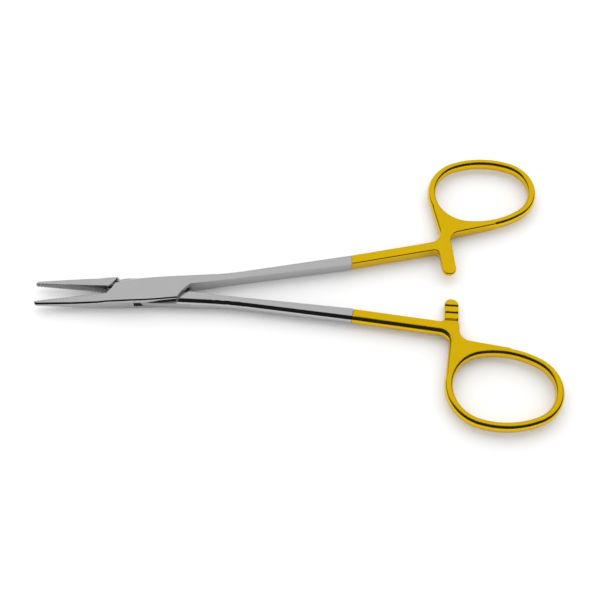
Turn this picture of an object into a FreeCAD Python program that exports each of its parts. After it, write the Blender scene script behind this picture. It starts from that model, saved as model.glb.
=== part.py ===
import FreeCAD, Part
import math
import os

# A box-lock needle holder, lying flat with its jaws towards -X and its finger rings towards +X.
# The origin is on the pivot axis, in the plane of the box's underside. Lengths are in millimetres.
# Both halves are drawn closed, with the gripping faces on the XZ plane, and then opened.
# The female half has its jaw at -Y and its ring at +Y. The male half runs through the female
# half's slot, from a jaw at +Y to a ring at -Y. It is drawn like the female half and mirrored.

# Jaws
jaw_length = 33.1
jaw_tip_width = 1.2
jaw_middle_width = 2.5
jaw_middle_place = 21.0
jaw_tip_height = 1.65
jaw_tip_round = 0.8
jaw_edge_round = 0.6
insert_heel_gap = 0.1
insert_tip_depth = 0.65
insert_heel_depth = 1.1

# Box lock
box_height = 5.0
box_half_width = 4.2
box_front = 11.5
box_rear = 12.7
box_front_corner = 8.7
box_front_narrowing = 0.4
box_rear_corner = 8.4
front_bow_along = 0.4
front_bow_across = 0.25
rear_bow_along = 0.5
rear_bow_across = 0.33
box_flat_front = 4.0
box_flat_rear = 7.0
box_bend = 100.0
height_bends = (60.0, 60.0, 60.0, 60.0)
slot_height = 1.9
slot_mouth = 4.2
slot_wall_clearance = 0.35
tongue_clearance = 0.05
tongue_radius = 3.6
tongue_heel_gap = 0.3
tongue_corner_length = 3.7
tongue_corner_depth = 1.1
tongue_mouth_clearance = 0.1
front_shoulder_gap = 0.15
rear_shoulder_gap = 0.6
pin_diameter = 3.2
pin_seat_clearance = 0.01
pin_running_clearance = 0.03

# Shanks: distances of the inner and outer edges from the XZ plane, at places along X
shank_start_inner = 0.3
shank_waist_place = 24.0
shank_waist_outer = 3.5
shank_bend = 100.0
shank_height = 3.9
shank_edge_round = 1.5
handle_place = 60.0
handle_inner = 2.5
handle_outer = 6.1
handle_height = 3.5
handle_end_inner = 5.2
handle_end_outer = 8.55

# Finger rings
ring_past_ratchet = 14.55
ring_y = 24.6
ring_tilt = 1.0
ring_hole_length = 28.4
ring_hole_width = 20.7
ring_left_radius = 10.0
ring_right_radius = 8.7
ring_stock = 2.4
ring_squareness = 2.6
ring_section_points = 12

# Webs between shank, ratchet bar and ring
web_left_inset = 1.6
web_right_rise = 5.05
web_overlap = 0.1
neck_round = 3.2
armpit_round = 3.2
crotch_round = 1.3

# Ratchet bars
ratchet_x = 88.85
ratchet_width = 4.1
ratchet_reach = 3.9
ratchet_gap = 0.1
ratchet_root_inset = 0.2
tooth_count = 3
tooth_pitch = 2.3
tooth_depth = 0.5
tooth_first = 2.3

# Pose, and how far cutting shapes reach past what they cut
open_angle = 4.8
beyond = 2.0

middle = box_height / 2
ring_x = ratchet_x + ring_past_ratchet
bar_left = ratchet_x - ratchet_width / 2
bar_right = ratchet_x + ratchet_width / 2


# Drawing helpers

def vector(x, y, z=0.0):
    return FreeCAD.Vector(x, y, z)


def line(start, end):
    return Part.LineSegment(vector(*start), vector(*end)).toShape()


def arc(centre, radius, start_angle, end_angle):
    """Arc between two angles in radians."""
    angles = (start_angle, (start_angle + end_angle) / 2, end_angle)
    spots = [vector(centre[0] + radius * math.cos(angle), centre[1] + radius * math.sin(angle))
             for angle in angles]
    return Part.Arc(*spots).toShape()


def bent_path(points, *radii):
    """Straight runs between the points, with a tangent arc of the next radius at each bend."""
    edges = []
    start = vector(*points[0])
    for before, corner, after, radius in zip(points, points[1:], points[2:], radii):
        corner = vector(*corner)
        back = (vector(*before) - corner).normalize()
        ahead = (vector(*after) - corner).normalize()
        turn = math.pi - back.getAngle(ahead)
        reach = radius * math.tan(turn / 2)
        inwards = (back + ahead).normalize()
        entry = corner + back * reach
        leave = corner + ahead * reach
        top = corner + inwards * (radius / math.cos(turn / 2) - radius)
        edges.append(Part.LineSegment(start, entry).toShape())
        edges.append(Part.Arc(entry, top, leave).toShape())
        start = leave
    edges.append(Part.LineSegment(start, vector(*points[-1])).toShape())
    return edges


def curve(points):
    spline = Part.BSplineCurve()
    spline.interpolate([vector(*point) for point in points])
    return spline.toShape()


def plate(edges, bottom=-beyond, top=box_height + beyond):
    """Stand a closed outline up as a plate between two heights."""
    face = Part.Face(Part.Wire(Part.__sortEdges__(edges)))
    solid = face.extrude(vector(0, 0, top - bottom))
    solid.translate(vector(0, 0, bottom))
    return solid


def polygon_plate(points, bottom=-beyond, top=box_height + beyond):
    closed = list(points) + [points[0]]
    return plate([line(a, b) for a, b in zip(closed, closed[1:])], bottom, top)


def disc(x, y, radius, bottom=-beyond, top=box_height + beyond):
    return Part.makeCylinder(radius, top - bottom, vector(x, y, bottom))


def mirrored(shape):
    return shape.mirror(vector(0, 0, 0), vector(0, 1, 0))


def edges_near(solid, spots):
    """For each spot, the edge of the solid that passes closest to it."""
    found = []
    for spot in spots:
        vertex = Part.Vertex(vector(*spot))
        found.append(min(solid.Edges, key=lambda edge: edge.distToShape(vertex)[0]))
    return found


def both_sides(spot, half):
    """The spot above and below the arms' mid-height."""
    return [(*spot, middle + half), (*spot, middle - half)]


def tangent_spot(point, radius, side, centre=(0, 0)):
    """Where a line from the point touches a circle, which is round the pivot unless told otherwise."""
    across, along = point[0] - centre[0], point[1] - centre[1]
    angle = math.atan2(along, across) + side * math.acos(radius / math.hypot(across, along))
    return (centre[0] + radius * math.cos(angle), centre[1] + radius * math.sin(angle))


# Edges of the shared plan, drawn for the female half

jaw_side = [(-jaw_length, -jaw_tip_width), (-jaw_middle_place, -jaw_middle_width),
            (0, -box_half_width), (box_rear_corner, -box_half_width)]
shank_side = [(-box_front_corner, box_half_width - box_front_narrowing), (0, box_half_width),
              (shank_waist_place, shank_waist_outer), (handle_place, handle_outer),
              (bar_left, handle_end_outer)]
shank_inside = [(box_rear, shank_start_inner), (handle_place, handle_inner), (ratchet_x, handle_end_inner)]
front_bow = (-box_front + front_bow_along * (box_front - box_front_corner), front_bow_across * box_half_width)
rear_bow = (box_rear_corner + rear_bow_along * (box_rear - box_rear_corner), -rear_bow_across * box_half_width)
front_edge = [(-box_front, 0), front_bow, shank_side[0]]
rear_edge = [jaw_side[-1], rear_bow, shank_inside[0]]


# Ring

def oval_places():
    """Places along X of the finger hole's arc centres, and its flank arcs' radius and centre depth."""
    half_width = ring_hole_width / 2
    left = ring_hole_length / 2 - ring_left_radius
    right = ring_hole_length / 2 - ring_right_radius
    left_room = half_width - ring_left_radius
    right_room = half_width - ring_right_radius
    left_term = left ** 2 + half_width ** 2 - ring_left_radius ** 2
    right_term = right ** 2 + half_width ** 2 - ring_right_radius ** 2
    # The flank arc touches both end arcs: its centre's place along X solves a quadratic
    square = right_room - left_room
    linear = 2 * left * right_room + 2 * right * left_room
    constant = left_term * right_room - right_term * left_room
    place = -2 * constant / (linear + math.sqrt(linear ** 2 - 4 * square * constant))
    radius = ((place + left) ** 2 + half_width ** 2 - ring_left_radius ** 2) / (2 * left_room)
    return -left, right, place, radius, radius - half_width


def oval_arcs():
    """Centre, radius and end angles of the arcs round the finger hole, before it is placed."""
    left, right, place, radius, depth = oval_places()
    left_angle = math.atan2(depth, left - place)
    right_angle = math.atan2(depth, right - place)
    return [((place, -depth), radius, right_angle, left_angle),
            ((left, 0), ring_left_radius, left_angle, 2 * math.pi - left_angle),
            ((place, depth), radius, -left_angle, -right_angle),
            ((right, 0), ring_right_radius, -right_angle, right_angle)]


def put_on_ring(shape):
    shape.rotate(vector(0, 0, 0), vector(0, 0, 1), ring_tilt)
    shape.translate(vector(ring_x, ring_y, 0))
    return shape


def ring_disc(offset, height=handle_height):
    """The finger hole's outline moved outwards, as a plate at the arms' mid-height."""
    edges = [arc(centre, radius + offset, start, end) for centre, radius, start, end in oval_arcs()]
    return put_on_ring(plate(edges, middle - height / 2, middle + height / 2))


def ring_section():
    """Rounded section of the ring's stock, upright in the XZ plane round the origin."""
    points = []
    for index in range(ring_section_points):
        angle = 2 * math.pi * index / ring_section_points
        across, upright = [math.copysign(abs(part) ** (2 / ring_squareness), part)
                           for part in (math.cos(angle), math.sin(angle))]
        points.append(vector(ring_stock / 2 * across, 0, handle_height / 2 * upright))
    outline = Part.BSplineCurve()
    outline.interpolate(points, PeriodicFlag=True)
    return Part.Face(Part.Wire(outline.toShape()))


def make_ring():
    """The section turned along each arc of the finger hole's outline."""
    spans = []
    for centre, radius, start, end in oval_arcs():
        section = ring_section()
        section.translate(vector(radius + ring_stock / 2, 0, middle))
        section.rotate(vector(0, 0), vector(0, 0, 1), math.degrees(start))
        section.translate(vector(*centre))
        spans.append(section.revolve(vector(*centre), vector(0, 0, 1), math.degrees(end - start) % 360))
    return put_on_ring(spans[0].fuse(spans[1:]))


# Arms, before the lock is cut

def side_view():
    """Thickness of an arm from the jaw tip to the ring, as a plate along Y."""
    end = ring_x + ring_hole_length
    tip_slope = (box_height - jaw_tip_height) / 2 / (jaw_length - box_flat_front)
    halves = [(-jaw_length - beyond, jaw_tip_height / 2 - tip_slope * beyond),
              (-box_flat_front, box_height / 2), (box_flat_rear, box_height / 2),
              (shank_waist_place, shank_height / 2), (handle_place, handle_height / 2),
              (end, handle_height / 2)]
    edges = []
    for side in (1, -1):
        edges += bent_path([(x, side * half) for x, half in halves], *height_bends)
    for x, half in (halves[0], halves[-1]):
        edges.append(line((x, -half), (x, half)))
    width = 2 * (ring_y + ring_hole_width)
    view = plate(edges, -width / 2, width / 2)
    view.rotate(vector(0, 0, 0), vector(1, 0, 0), 90)
    view.translate(vector(0, 0, middle))
    return view


def web_plate():
    """The flat web that joins shank, ratchet bar and ring, with its sides running into the ring's."""
    left, right, place, radius, depth = oval_places()
    reach = ring_stock - web_overlap
    neck = (bar_left + web_left_inset, handle_end_outer)
    armpit = (bar_right, handle_end_inner + web_right_rise)
    spots = []
    for corner, centre, size, side in ((neck, (left, 0), ring_left_radius, -1),
                                       (armpit, (place, depth), radius, 1)):
        middle_spot = put_on_ring(Part.Vertex(vector(*centre))).Point
        spots.append(tangent_spot(corner, size + reach, side, (middle_spot.x, middle_spot.y)))
    return polygon_plate([
        spots[0], neck, (neck[0], handle_end_inner), (bar_right, handle_end_inner), armpit, spots[1],
        (ring_x, ring_y)])


def bar_plate():
    """Ratchet bar from the web to its rounded end beyond the XZ plane."""
    half = ratchet_width / 2
    bar = polygon_plate([(bar_left, half - ratchet_reach), (bar_right, half - ratchet_reach),
                         (bar_right, handle_end_outer), (bar_left, handle_end_outer)])
    return bar.fuse(disc(ratchet_x, half - ratchet_reach, half))


def whole_arm():
    """Strip, web, ratchet bar and ring in one, with rounded outer edges."""
    blank = shared_strip().fuse([web_plate(), bar_plate()]).removeSplitter()
    for x, y, radius in ((bar_left + web_left_inset, handle_end_outer, neck_round),
                         (bar_right, handle_end_inner + web_right_rise, armpit_round),
                         (bar_left, handle_end_inner, crotch_round),
                         (-jaw_length, -jaw_tip_width, jaw_tip_round)):
        blank = blank.makeFillet(radius, edges_near(blank, [(x, y, middle)]))
    arm = blank.common(side_view())
    handle_spot = ((handle_place + bar_left) / 2, (handle_outer + handle_end_outer) / 2)
    jaw_spot = (-jaw_middle_place, -jaw_middle_width)
    arm = arm.makeFillet(shank_edge_round, edges_near(arm, both_sides(handle_spot, handle_height / 2)))
    arm = arm.makeFillet(jaw_edge_round, edges_near(arm, both_sides(jaw_spot, box_height / 3)))
    arm = arm.cut(ring_disc(ring_stock / 2, box_height))
    return arm.fuse(make_ring())


# Lock

def cheek_zone(bottom, top):
    """Plan of the box between its front and rear edges and the shoulder gaps, as a plate."""
    reach = box_half_width + beyond
    front = [(x - front_shoulder_gap, y) for x, y in front_edge]
    rear = [(x + rear_shoulder_gap, y) for x, y in rear_edge]
    edges = [curve(front), curve(rear)]
    below = [front[0], (front[0][0], -reach), (rear[0][0], -reach), rear[0]]
    above = [front[-1], (front[-1][0], reach), (rear[-1][0], reach), rear[-1]]
    for run in (below, above):
        edges += [line(a, b) for a, b in zip(run, run[1:])]
    return plate(edges, bottom, top)


def slot_shape():
    """The slot through the box, open towards the male half's jaw and shank."""
    low = middle - slot_height / 2
    high = middle + slot_height / 2
    radius = tongue_radius + slot_wall_clearance
    reach = box_half_width + beyond
    towards_jaw = polygon_plate([
        (-box_front - beyond, 0), front_edge[0], tangent_spot(front_edge[0], radius, 1),
        (slot_mouth, 0), (slot_mouth, reach), (-box_front - beyond, reach)], low, high)
    towards_shank = polygon_plate([
        (box_rear + beyond, shank_start_inner), rear_edge[-1], tangent_spot(rear_edge[-1], radius, 1),
        (-slot_mouth, 0), (-slot_mouth, -reach), (box_rear + beyond, -reach)], low, high)
    return disc(0, 0, radius, low, high).fuse([towards_jaw, towards_shank])


def beside_tongue():
    """What the male half loses on each side of its tongue, which turns on a round middle."""
    reach = box_half_width + beyond
    heel = (tongue_heel_gap - box_front, 0)
    start = (box_rear, shank_start_inner)
    jaw_spot = tangent_spot(heel, tongue_radius, -1)
    shank_spot = tangent_spot(start, tongue_radius, -1)
    past_jaw_corner = tongue_corner_length - box_front_corner
    jaw_gap = polygon_plate([(-box_front - beyond, 0), heel, jaw_spot, (jaw_spot[0], reach),
                             (-box_front - beyond, reach)])
    shank_gap = polygon_plate([(box_rear + beyond, shank_start_inner), start, shank_spot,
                               (shank_spot[0], -reach), (box_rear + beyond, -reach)])
    corner = polygon_plate([(-box_front_corner, tongue_corner_depth - box_half_width),
                            (-box_front_corner, -reach), (past_jaw_corner, -reach),
                            (past_jaw_corner, -box_half_width)])
    turning_room = disc(0, 0, slot_mouth - tongue_mouth_clearance)
    return [jaw_gap.cut(turning_room), shank_gap.cut(turning_room), corner]


# Ratchet

def ratchet_cut(side):
    """What is cut off one half of a ratchet bar's height, leaving teeth; side +1 keeps the top."""
    crest = middle + side * ratchet_gap / 2
    root = crest + side * tooth_depth
    away = middle - side * box_height
    wall = handle_end_inner + ratchet_root_inset
    profile = [(-ratchet_reach - beyond, away), (-ratchet_reach - beyond, root), (-ratchet_reach, root)]
    for tooth in range(tooth_count):
        place = tooth_first - ratchet_reach + tooth * tooth_pitch
        profile += [(place, crest), (place, root)]
    profile += [(wall, root), (wall, away)]
    corners = [vector(bar_left, y, z) for y, z in profile]
    face = Part.Face(Part.makePolygon(corners + [corners[0]]))
    return face.extrude(vector(ratchet_width + beyond, 0, 0))


# Whole pieces

def seat_zone():
    """The side of the jaw that the hard insert fills."""
    heel = -box_front - insert_heel_gap
    return polygon_plate([(-jaw_length - beyond, -insert_tip_depth), (heel, -insert_heel_depth),
                          (heel, beyond), (-jaw_length - beyond, beyond)])


def shared_strip():
    """Jaw, box and shank in plan, as a plate."""
    edges = bent_path(jaw_side, box_bend, box_bend)
    edges += bent_path(shank_side, box_bend, shank_bend, shank_bend)
    edges += bent_path(shank_inside, shank_bend)
    edges += [curve(front_edge), curve(rear_edge)]
    edges += [line(front_edge[0], (-jaw_length, 0)), line((-jaw_length, 0), jaw_side[0]),
              line(shank_inside[-1], shank_side[-1])]
    return plate(edges)


def make_female(arm):
    bore = disc(0, 0, pin_diameter / 2 + pin_seat_clearance)
    return arm.cut([slot_shape(), bore, ratchet_cut(1)])


def make_male(arm):
    tongue_half = slot_height / 2 - tongue_clearance
    bore = disc(0, 0, pin_diameter / 2 + pin_running_clearance)
    body = mirrored(arm.cut(beside_tongue() + [ratchet_cut(-1)]))
    return body.cut([cheek_zone(middle + tongue_half, box_height + beyond),
                     cheek_zone(-beyond, middle - tongue_half), bore])


def opened(shape, angle):
    shape.rotate(vector(0, 0, 0), vector(0, 0, 1), angle)
    return shape


arm = whole_arm()
insert = arm.common(seat_zone())
steel = arm.cut(seat_zone())
pieces = {
    "female_half": opened(make_female(steel), open_angle),
    "male_half": opened(make_male(steel), -open_angle),
    "lower_jaw_insert": opened(insert.copy(), open_angle),
    "upper_jaw_insert": opened(mirrored(insert), -open_angle),
    "pivot_pin": disc(0, 0, pin_diameter / 2, 0, box_height),
}
os.makedirs("parts", exist_ok=True)
for name, shape in pieces.items():
    shape.exportStep("parts/" + name + ".step")
    print(name, len(shape.Solids), "solid,", round(shape.Volume, 1), "cubic mm")
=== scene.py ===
import math
import bpy
import bmesh
from mathutils import Matrix, Vector


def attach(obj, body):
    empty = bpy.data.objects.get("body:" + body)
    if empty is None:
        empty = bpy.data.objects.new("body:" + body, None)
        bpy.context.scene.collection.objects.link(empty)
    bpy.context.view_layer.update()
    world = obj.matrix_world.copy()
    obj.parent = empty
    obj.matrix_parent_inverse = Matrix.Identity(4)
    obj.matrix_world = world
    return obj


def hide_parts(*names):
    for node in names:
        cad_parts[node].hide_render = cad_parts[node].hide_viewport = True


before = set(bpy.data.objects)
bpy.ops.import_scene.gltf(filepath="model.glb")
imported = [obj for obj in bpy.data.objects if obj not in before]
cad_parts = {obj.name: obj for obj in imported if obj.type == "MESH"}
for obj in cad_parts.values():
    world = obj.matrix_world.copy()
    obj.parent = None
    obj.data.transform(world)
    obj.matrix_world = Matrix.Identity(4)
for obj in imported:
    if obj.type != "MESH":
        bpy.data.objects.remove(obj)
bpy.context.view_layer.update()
scene = bpy.context.scene
scene.view_settings.view_transform = "Standard"
print("frame loaded:", sorted(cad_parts))

openAngle = math.radians(4.8)  # each half is turned this far from closed
mergeDistance = 1e-6  # corners nearer to each other than this become one, in metres
cutDistance = 1e-7  # corners nearer to a cut than this lie on it, in metres


# Helpers for nodes: an input is given by its name or number, as a value or as the socket
# that feeds it

def addNode(tree, kind, inputs=None, **settings):
    node = tree.nodes.new(kind)
    for name, value in settings.items():
        setattr(node, name, value)
    for name, value in (inputs or {}).items():
        if isinstance(value, bpy.types.NodeSocket):
            tree.links.new(value, node.inputs[name])
        else:
            node.inputs[name].default_value = value
    return node


# A Mix node has sockets for each kind of value: 6, 7 and 2 are the colours', 2, 3 and 0 the
# plain values'
def mixColours(tree, share, first, second):
    node = addNode(tree, "ShaderNodeMix", {0: share, 6: first, 7: second}, data_type="RGBA")
    return node.outputs[2]


def mixValues(tree, share, first, second):
    return addNode(tree, "ShaderNodeMix", {0: share, 2: first, 3: second}).outputs[0]


def calculate(tree, operation, *values):
    node = addNode(tree, "ShaderNodeMath", dict(enumerate(values)), operation=operation)
    return node.outputs[0]


def newGroup(name, inputs, outputs):
    group = bpy.data.node_groups.new(name, "ShaderNodeTree")
    for socketName, value in inputs.items():
        socket = group.interface.new_socket(
            name=socketName, in_out="INPUT", socket_type="NodeSocketFloat")
        socket.default_value = value
    for socketName in outputs:
        group.interface.new_socket(
            name=socketName, in_out="OUTPUT", socket_type="NodeSocketFloat")
    return group, group.nodes.new("NodeGroupInput"), group.nodes.new("NodeGroupOutput")


def newMaterial(name):
    material = bpy.data.materials.new(name)
    material.use_nodes = True
    material.node_tree.nodes.clear()
    return material, material.node_tree


def finishMaterial(tree, shader):
    addNode(tree, "ShaderNodeOutputMaterial", {"Surface": shader.outputs[0]})


def finishMetal(tree, inputs):
    finishMaterial(tree, addNode(tree, "ShaderNodeBsdfPrincipled", {"Metallic": 1.0, **inputs}))


# Helpers for shapes

def addObject(name, data):
    thing = bpy.data.objects.new(name, data)
    scene.collection.objects.link(thing)
    return thing


def toMesh(shape, name):
    mesh = bpy.data.meshes.new(name)
    shape.to_mesh(mesh)
    shape.free()
    return mesh


# A CAD node's mesh is loose triangles, so a copy of it is merged into whole flat faces first
def mergedCopy(nodeName, flatAngle, turn=Matrix()):
    shape = bmesh.new()
    shape.from_mesh(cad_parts[nodeName].data)
    shape.transform(turn)
    bmesh.ops.remove_doubles(shape, verts=shape.verts, dist=mergeDistance)
    bmesh.ops.dissolve_limit(shape, angle_limit=math.radians(flatAngle), verts=shape.verts,
                             edges=shape.edges)
    return shape


# Keeps the side of the plane that direction points to, and closes the cut
def keepBeyond(shape, point, direction):
    result = bmesh.ops.bisect_plane(shape, geom=[*shape.verts, *shape.edges, *shape.faces],
                                    plane_co=point, plane_no=direction, clear_inner=True)
    cut = [part for part in result["geom_cut"] if isinstance(part, bmesh.types.BMEdge)]
    bmesh.ops.holes_fill(shape, edges=cut, sides=0)
    bmesh.ops.recalc_face_normals(shape, faces=shape.faces)


# The mesh that modifiers make of a shape; each is given as its kind and its settings
def withModifiers(shape, name, modifiers):
    source = toMesh(shape, name + "Source")
    piece = addObject(name + "Source", source)
    for kind, settings in modifiers:
        modifier = piece.modifiers.new(kind.lower(), kind)
        for setting, value in settings.items():
            setattr(modifier, setting, value)
    graph = bpy.context.evaluated_depsgraph_get()
    mesh = bpy.data.meshes.new_from_object(piece.evaluated_get(graph))
    bpy.data.objects.remove(piece)
    bpy.data.meshes.remove(source)
    mesh.name = name
    return mesh


# Fine grinding marks along the arms, and faint stains

groundLook = {
    "grainLength": 60.0,  # waves per metre along the arms
    "grainWidth": 3500.0,  # and across them
    "grainDetail": 3.0,
    "grainRoughness": 0.6,
    "stainSize": 160.0,
    "stainDetail": 4.0,
    "stainRoughness": 0.55,
}


def makeGroundMetalGroup():
    group, given, result = newGroup(
        "groundMetal",
        {"Grain Length": groundLook["grainLength"], "Grain Width": groundLook["grainWidth"],
         "Stain Size": groundLook["stainSize"]},
        ("Grain", "Stain"))
    place = addNode(group, "ShaderNodeTexCoord").outputs["Object"]
    stretch = addNode(group, "ShaderNodeCombineXYZ", {
        "X": given.outputs["Grain Length"], "Y": given.outputs["Grain Width"],
        "Z": given.outputs["Grain Width"]})
    stretched = addNode(group, "ShaderNodeVectorMath", {0: place, 1: stretch.outputs[0]},
                        operation="MULTIPLY")
    grain = addNode(group, "ShaderNodeTexNoise", {
        "Vector": stretched.outputs[0], "Scale": 1.0, "Detail": groundLook["grainDetail"],
        "Roughness": groundLook["grainRoughness"]})
    stain = addNode(group, "ShaderNodeTexNoise", {
        "Vector": place, "Scale": given.outputs["Stain Size"],
        "Detail": groundLook["stainDetail"], "Roughness": groundLook["stainRoughness"]})
    group.links.new(grain.outputs[0], result.inputs["Grain"])
    group.links.new(stain.outputs[0], result.inputs["Stain"])
    return group


groundMetal = makeGroundMetalGroup()


# Steel halves with plated handles

plating = {
    "steel": (0.50, 0.50, 0.50, 1.0),
    "steelStain": (0.47, 0.47, 0.47, 1.0),
    "gold": (0.76, 0.50, 0.006, 1.0),
    "goldStain": (0.72, 0.46, 0.005, 1.0),
    "steelRoughness": (0.08, 0.13),  # it moves between the two with the grain
    "goldRoughness": (0.19, 0.26),
    "grainBump": 0.05,
    "grainDepth": 0.00002,
    "edgeLine": 0.00015,  # half the width over which the plating's boundary fades
    "lockRoughness": 0.5,  # the slot and the tongue in it are left as milled
    "lockReach": (-0.006, 0.0126),  # where along the arm, and at which heights
    "lockHeights": (0.0015, 0.0035),
}
platingLines = {  # a point of the boundary, and the direction towards the plated side
    "female_half": ((0.06005, 0.0, 0.0), (1.0, 0.0, 0.0)),
    "male_half": ((0.0600, -0.0076, 0.0), (0.981, -0.191, 0.0)),
}


def platingLine(nodeName):
    return [Vector(part) for part in platingLines[nodeName]]


def grainBump(tree, grain):
    return addNode(tree, "ShaderNodeBump", {
        "Strength": plating["grainBump"], "Distance": plating["grainDepth"],
        "Height": grain}).outputs[0]


def makePlatedMetal(nodeName):
    material, tree = newMaterial(nodeName + "Metal")
    point, direction = platingLine(nodeName)
    metal = addNode(tree, "ShaderNodeGroup", node_tree=groundMetal)
    grain = metal.outputs["Grain"]
    stain = metal.outputs["Stain"]
    place = addNode(tree, "ShaderNodeTexCoord").outputs["Object"]
    offset = addNode(tree, "ShaderNodeVectorMath", {0: place, 1: point}, operation="SUBTRACT")
    along = addNode(tree, "ShaderNodeVectorMath", {0: offset.outputs[0], 1: direction},
                    operation="DOT_PRODUCT")
    plated = addNode(tree, "ShaderNodeMapRange", {
        "Value": along.outputs["Value"], "From Min": -plating["edgeLine"],
        "From Max": plating["edgeLine"]}, interpolation_type="SMOOTHSTEP").outputs[0]
    steel = mixColours(tree, stain, plating["steel"], plating["steelStain"])
    gold = mixColours(tree, stain, plating["gold"], plating["goldStain"])
    steelRough = mixValues(tree, grain, *plating["steelRoughness"])
    goldRough = mixValues(tree, grain, *plating["goldRoughness"])
    parts = addNode(tree, "ShaderNodeSeparateXYZ", {0: place})
    within = [calculate(tree, "COMPARE", parts.outputs[axis], (low + high) / 2, (high - low) / 2)
              for axis, (low, high) in (("X", plating["lockReach"]), ("Z", plating["lockHeights"]))]
    milled = calculate(tree, "MULTIPLY", *within)
    polishedRough = mixValues(tree, plated, steelRough, goldRough)
    finishMetal(tree, {
        "Base Color": mixColours(tree, plated, steel, gold),
        "Roughness": mixValues(tree, milled, polishedRough, plating["lockRoughness"]),
        "Normal": grainBump(tree, grain)})
    return material


# The jaws' top and underside fall away from the middle of their height towards the outer side

jawCrown = {
    "middle": 0.0025,
    "falls": (  # places along the jaw, and the share of the height that is lost per metre outwards
        (-0.0331, 240.0), (-0.027, 160.0), (-0.021, 110.0), (-0.014, 70.0), (-0.0115, 0.0)),
    "steps": 8,  # cuts across the jaw, at which its long faces can bend
}


# side is +1 for the jaw at +Y, and -1 for the other
def crownJaw(shape, side):
    middle, falls, steps = jawCrown["middle"], jawCrown["falls"], jawCrown["steps"]
    first, last = falls[0][0], falls[-1][0]
    for step in range(steps):
        bmesh.ops.bisect_plane(shape, geom=[*shape.verts, *shape.edges, *shape.faces],
                               dist=cutDistance, plane_no=(1, 0, 0),
                               plane_co=(last + (first - last) * step / steps, 0, 0))
    for vert in shape.verts:
        for (start, startFall), (end, endFall) in zip(falls, falls[1:]):
            if start <= vert.co.x < end:
                fall = startFall + (endFall - startFall) * (vert.co.x - start) / (end - start)
                closed = Matrix.Rotation(side * openAngle, 3, "Z") @ vert.co
                outwards = max(side * closed.y, 0)
                vert.co.z = middle + (vert.co.z - middle) * (1 - fall * outwards)


# Edges of the halves, in metres and degrees: fine bevels in front, and a polished handle

halfFinish = {
    "flatAngle": 0.1,  # faces that meet at less than this become one
    "sharpAngle": 35.0,  # edges that turn by more than this are bevelled and drawn sharp
    "bevel": 0.00012,
    "bevelSegments": 2,
    "bevelStart": -0.0122,  # the jaws' edges, where the inserts are seated, stay sharp
    "bevelPastPlating": 0.03,  # the bevels run on past the cut between front and handle
    "voxel": 0.00018,
    "smoothing": 0.5,  # how far each round of polishing moves a corner to its neighbours' middle
    "polishing": 10,
    "ringPolishing": 5,  # rounds that the ring gets on top
    "ringStart": (0.086, 0.092),  # along the arm, where the ring's softer section sets in
    "barEnd": 0.012,  # the ratchet bars, which reach in from here, keep their edges
    "ringGrowth": 0.00002,  # makes up for what the polishing takes off
}


def isSharp(edge):
    return (len(edge.link_faces) == 2
            and edge.calc_face_angle() > math.radians(halfFinish["sharpAngle"]))


# Steel front with fine bevels
def makeFront(nodeName, side):
    point, direction = platingLine(nodeName)
    front = mergedCopy(nodeName, halfFinish["flatAngle"])
    bevelEnd = point.x + halfFinish["bevelPastPlating"]
    edges = [edge for edge in front.edges if isSharp(edge)
             and min(vert.co.x for vert in edge.verts) > halfFinish["bevelStart"]
             and max(vert.co.x for vert in edge.verts) < bevelEnd]
    bmesh.ops.bevel(front, geom=edges, offset=halfFinish["bevel"], offset_type="OFFSET",
                    segments=halfFinish["bevelSegments"], profile=0.5, affect="EDGES",
                    material=-1, clamp_overlap=True)
    keepBeyond(front, point, -direction)
    crownJaw(front, side)
    return front


# Rounds the ring's section further; side is +1 where the ring lies at +Y
def softenRing(mesh, side):
    shape = bmesh.new()
    shape.from_mesh(mesh)
    start, end = halfFinish["ringStart"]
    shares = {}
    for vert in shape.verts:
        along = (vert.co.x - start) / (end - start)
        outwards = (side * vert.co.y - halfFinish["barEnd"]) / (end - start)
        share = min(max(min(along, outwards), 0), 1)
        if share > 0:
            shares[vert] = share
    for step in range(halfFinish["ringPolishing"]):
        places = {}
        for vert in shares:
            neighbours = [edge.other_vert(vert).co for edge in vert.link_edges]
            places[vert] = sum(neighbours, Vector()) / len(neighbours)
        for vert, place in places.items():
            vert.co = vert.co.lerp(place, halfFinish["smoothing"] * shares[vert])
    shape.normal_update()
    grown = {vert: vert.co + vert.normal * halfFinish["ringGrowth"] * share
             for vert, share in shares.items()}
    for vert, place in grown.items():
        vert.co = place
    shape.to_mesh(mesh)
    shape.free()


# Plated handle, polished until its edges are round
def makeHandle(nodeName, side):
    handle = mergedCopy(nodeName, halfFinish["flatAngle"])
    keepBeyond(handle, *platingLine(nodeName))
    mesh = withModifiers(handle, nodeName + "Handle", [
        ("REMESH", {"mode": "VOXEL", "voxel_size": halfFinish["voxel"]}),
        ("SMOOTH", {"factor": halfFinish["smoothing"], "iterations": halfFinish["polishing"]})])
    softenRing(mesh, -side)
    return mesh


# side is +1 where the jaw lies at +Y; the ring of that half lies on the other side
def makeHalf(nodeName, side):
    name = nodeName + "Finished"
    half = makeFront(nodeName, side)
    half.from_mesh(makeHandle(nodeName, side))
    for face in half.faces:
        face.smooth = True
    for edge in half.edges:
        edge.smooth = not isSharp(edge)
    return addObject(name, withModifiers(half, name, [("WEIGHTED_NORMAL", {"keep_sharp": True})]))


for nodeName, side, body in (("female_half", -1, "female_arm"), ("male_half", 1, "male_arm")):
    piece = makeHalf(nodeName, side)
    piece.data.materials.clear()
    piece.data.materials.append(makePlatedMetal(nodeName))
    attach(piece, body)
    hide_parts(nodeName)
    print(piece.name, len(piece.data.polygons), "faces")


# Pivot pin: the same steel, polished over with the box

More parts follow.
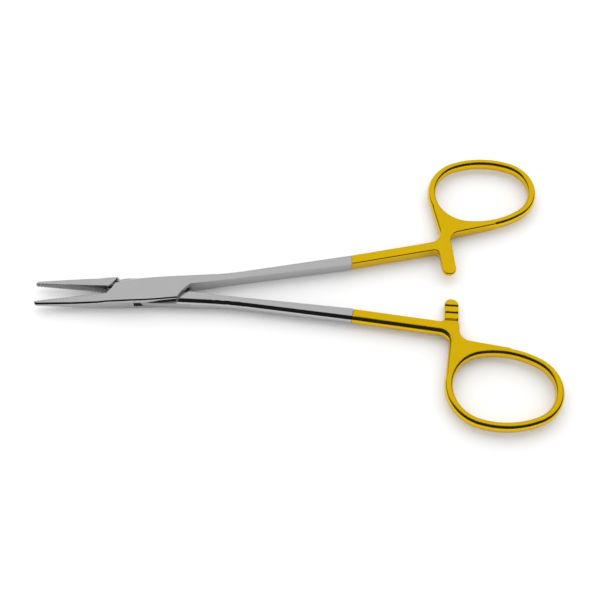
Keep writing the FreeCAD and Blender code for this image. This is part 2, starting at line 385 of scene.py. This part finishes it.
def makePinMetal():
    material, tree = newMaterial("pinMetal")
    metal = addNode(tree, "ShaderNodeGroup", node_tree=groundMetal)
    grain = metal.outputs["Grain"]
    stain = metal.outputs["Stain"]
    finishMetal(tree, {
        "Base Color": mixColours(tree, stain, plating["steel"], plating["steelStain"]),
        "Roughness": mixValues(tree, grain, *plating["steelRoughness"]),
        "Normal": grainBump(tree, grain)})
    return material


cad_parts["pivot_pin"].material_slots[0].material = makePinMetal()
print("pin finished")


# Hard inserts: the gripping face of each is cut into a field of small pyramids, with painted shade
# towards the bottoms of the grooves

insertLook = {
    "flatAngle": 1.0,
    "pitch": 0.0007,  # from groove to groove
    "depth": 0.00026,
    "crossAngle": 45.0,  # of the grooves, both ways
    "facing": 0.99,  # how squarely a gripping face points across, as a cosine
    "levelWithin": 1e-6,  # how closely the faces of the field agree in place
    "colour": (0.50, 0.50, 0.50, 1.0),
    "stainColour": (0.46, 0.46, 0.465, 1.0),
    # painted shade, which the surface takes on towards the bottoms of the grooves
    "grooveShadeColour": (0.26, 0.26, 0.26, 1.0),
    "plainFrom": 1.02,  # the metal is plain beyond this many times the depth
    "grainLength": 2500.0,
    "roughness": (0.10, 0.16),
}


def makeInsertMetal():
    material, tree = newMaterial("insertMetal")
    metal = addNode(tree, "ShaderNodeGroup", {"Grain Length": insertLook["grainLength"]},
                    node_tree=groundMetal)
    place = addNode(tree, "ShaderNodeTexCoord").outputs["Object"]
    parts = addNode(tree, "ShaderNodeSeparateXYZ", {0: place})
    across = calculate(tree, "ABSOLUTE", parts.outputs["Y"])
    along = calculate(tree, "MULTIPLY", parts.outputs["X"], math.sin(openAngle))
    depth = calculate(tree, "MULTIPLY_ADD", across, math.cos(openAngle), along)
    # painted shade: the colour darkens with depth, towards the bottoms of the grooves
    grooveDepthShade = addNode(tree, "ShaderNodeMapRange", {
        "Value": depth, "From Min": 0.0, "From Max": insertLook["depth"]}).outputs[0]
    plain = calculate(tree, "GREATER_THAN", depth, insertLook["depth"] * insertLook["plainFrom"])
    surface = mixColours(tree, metal.outputs["Stain"], insertLook["colour"],
                         insertLook["stainColour"])
    cut = mixColours(tree, grooveDepthShade, surface, insertLook["grooveShadeColour"])
    finishMetal(tree, {
        "Base Color": mixColours(tree, plain, cut, surface),
        "Roughness": mixValues(tree, metal.outputs["Grain"], *insertLook["roughness"])})
    return material


# side is +1 where the insert lies at +Y of its gripping face
def makeCrossHatchedInsert(nodeName, side):
    pitch, depth = insertLook["pitch"], insertLook["depth"]
    turn = Matrix.Rotation(side * openAngle, 4, "Z")  # to the closed pose
    shape = mergedCopy(nodeName, insertLook["flatAngle"], turn)

    def isGripping(face):
        return -side * face.normal.y > insertLook["facing"]

    # the face goes back by the depth, and each diamond that is cut in it is raised to a point
    grip = max(filter(isGripping, shape.faces), key=lambda face: face.calc_area())
    bmesh.ops.translate(shape, verts=grip.verts, vec=Vector((0, side * depth, 0)))
    centre = grip.calc_center_median()
    reach = max((vert.co - centre).length for vert in grip.verts)
    count = int(reach / pitch) + 1
    field = [grip]
    for angle in (insertLook["crossAngle"], -insertLook["crossAngle"]):
        normal = Vector((math.sin(math.radians(angle)), 0, math.cos(math.radians(angle))))
        for step in range(-count, count + 1):
            edges = {edge for face in field for edge in face.edges}
            verts = {vert for face in field for vert in face.verts}
            bmesh.ops.bisect_plane(shape, geom=[*field, *edges, *verts], dist=cutDistance,
                                   plane_co=centre + normal * step * pitch, plane_no=normal)
            field = [face for face in filter(isGripping, shape.faces)
                     if abs(face.calc_center_median().y - centre.y) < insertLook["levelWithin"]]
    bmesh.ops.poke(shape, faces=field, offset=depth)
    for face in shape.faces:
        face.smooth = False
    shape.transform(turn.inverted())
    crownJaw(shape, side)
    mesh = toMesh(shape, nodeName + "Hatched")
    if mesh.has_custom_normals:  # the CAD node's own, under which the pyramids look flat
        mesh.attributes.remove(mesh.attributes["custom_normal"])
    return addObject(nodeName + "Hatched", mesh)


insertMetal = makeInsertMetal()
for nodeName, side, body in (("lower_jaw_insert", -1, "female_arm"),
                             ("upper_jaw_insert", 1, "male_arm")):
    piece = makeCrossHatchedInsert(nodeName, side)
    piece.data.materials.append(insertMetal)
    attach(piece, body)
    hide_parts(nodeName)
    print(piece.name, len(piece.data.polygons), "faces")


# Floor, which stays white where nothing shades it

floorLook = {"size": 3.0, "colour": (0.95, 0.95, 0.95, 1.0)}


def makeFloor():
    shape = bmesh.new()
    bmesh.ops.create_grid(shape, x_segments=1, y_segments=1, size=floorLook["size"] / 2)
    floor = addObject("floor", toMesh(shape, "floor"))
    material, tree = newMaterial("floorWhite")
    finishMaterial(tree, addNode(tree, "ShaderNodeBsdfDiffuse", {"Color": floorLook["colour"]}))
    floor.data.materials.append(material)


makeFloor()
print("floor laid")


# Lights: a wide panel behind and above, which the metal mirrors, and soft light from all
# round, which the metal hardly mirrors, so that its rounded front edges stay dark

panel = {
    "distance": 1.0,
    "lowEdge": 6.0,  # degrees above the floor, seen from the instrument
    "highEdge": 86.0,
    "width": 3.2,
    "along": 0.045,  # over the middle of the instrument's length
    "radiance": 0.9,
}
softLight = {
    "colour": (1, 1, 1, 1),
    "plain": 0.8,  # its strength for plain rays, and for those that the metal mirrors
    "mirrored": 0.02,
}


def addPanel():
    middle = math.radians((panel["lowEdge"] + panel["highEdge"]) / 2)
    spread = math.radians((panel["highEdge"] - panel["lowEdge"]) / 2)
    lamp = bpy.data.lights.new("backPanel", "AREA")
    lamp.shape = "RECTANGLE"
    lamp.size = panel["width"]
    lamp.size_y = 2 * panel["distance"] * math.tan(spread)
    lamp.energy = panel["radiance"] * math.pi * lamp.size * lamp.size_y
    holder = addObject("backPanel", lamp)
    away = Vector((0, math.cos(middle), math.sin(middle)))
    holder.location = away * panel["distance"] + Vector((panel["along"], 0, 0))
    holder.rotation_euler = (-away).to_track_quat("-Z", "Y").to_euler()


def addSoftLight():
    world = bpy.data.worlds.new("studio")
    world.use_nodes = True
    tree = world.node_tree
    background = tree.nodes["Background"]
    background.inputs["Color"].default_value = softLight["colour"]
    mirrored = addNode(tree, "ShaderNodeLightPath").outputs["Is Glossy Ray"]
    tree.links.new(mixValues(tree, mirrored, softLight["plain"], softLight["mirrored"]),
                   background.inputs["Strength"])
    scene.world = world


addPanel()
addSoftLight()
print("lights placed")


# Camera

view = {
    "lens": 65.7,
    "sensorWidth": 36.0,
    "nearest": 0.005,
    "place": (0.04489, -0.1631, 0.2790),
    "forward": (-0.00088, 0.5, -0.8660),
    "roll": math.radians(-0.942),
}


def addCamera():
    lens = bpy.data.cameras.new("camera")
    lens.lens = view["lens"]
    lens.sensor_width = view["sensorWidth"]
    lens.clip_start = view["nearest"]
    forward = Vector(view["forward"]).normalized()
    level = forward.cross(Vector((0, 0, 1))).normalized()
    upright = level.cross(forward)
    right = math.cos(view["roll"]) * level + math.sin(view["roll"]) * upright
    up = right.cross(forward)
    camera = addObject("camera", lens)
    turned = Matrix((right, up, -forward)).transposed().to_4x4()
    camera.matrix_world = Matrix.Translation(Vector(view["place"])) @ turned
    scene.camera = camera


addCamera()
print("camera placed")
